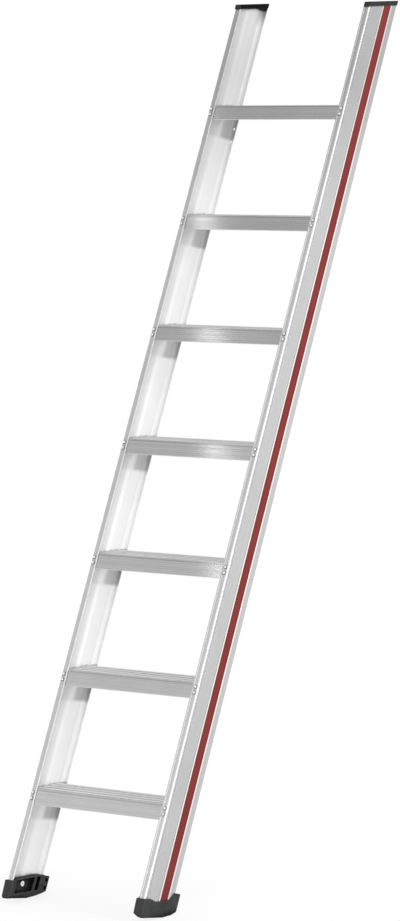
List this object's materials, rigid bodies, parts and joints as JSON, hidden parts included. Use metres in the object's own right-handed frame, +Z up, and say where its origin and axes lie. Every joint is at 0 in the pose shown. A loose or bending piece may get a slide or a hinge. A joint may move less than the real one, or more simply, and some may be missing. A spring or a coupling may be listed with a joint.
{
  "type": "leaning ladder",
  "caption": "Leaning ladder of two channel stiles with flat ribbed treads, rivets, cover stripes, end caps and moulded shoes.",
  "frame": {"origin": "on the floor, under the middle of the space that the leaning ladder takes up", "axes": "+Z up, +X across the ladder to the right-hand stile, +Y the way the ladder leans"},
  "size_m": [0.3434, 0.922, 1.8001],
  "materials": {
    "stile_aluminium": "natural anodised extrusion",
    "tread_aluminium": "mill-finish extrusion",
    "rivet_aluminium": "bright dome heads",
    "screw_steel": "zinc plated",
    "stripe_plastic": "satin red",
    "cap_plastic": "satin black",
    "shoe_plastic": "moulded dark grey"
  },
  "bodies": {
    "root": {"left_cover_stripe": "stripe_plastic", "left_end_cap": "cap_plastic", "left_shoe": "shoe_plastic", "left_shoe_screw": "screw_steel", "left_stile": "stile_aluminium", "right_cover_stripe": "stripe_plastic", "right_end_cap": "cap_plastic", "right_shoe": "shoe_plastic", "right_shoe_screw": "screw_steel", "right_stile": "stile_aluminium", "tread_1": "tread_aluminium", "tread_1_rivets": "rivet_aluminium", "tread_1_screws": "screw_steel", "tread_2": "tread_aluminium", "tread_2_rivets": "rivet_aluminium", "tread_2_screws": "screw_steel", "tread_3": "tread_aluminium", "tread_3_rivets": "rivet_aluminium", "tread_3_screws": "screw_steel", "tread_4": "tread_aluminium", "tread_4_rivets": "rivet_aluminium", "tread_4_screws": "screw_steel", "tread_5": "tread_aluminium", "tread_5_rivets": "rivet_aluminium", "tread_5_screws": "screw_steel", "tread_6": "tread_aluminium", "tread_6_rivets": "rivet_aluminium", "tread_6_screws": "screw_steel", "tread_7": "tread_aluminium", "tread_7_rivets": "rivet_aluminium", "tread_7_screws": "screw_steel"}
  },
  "joints": []
}
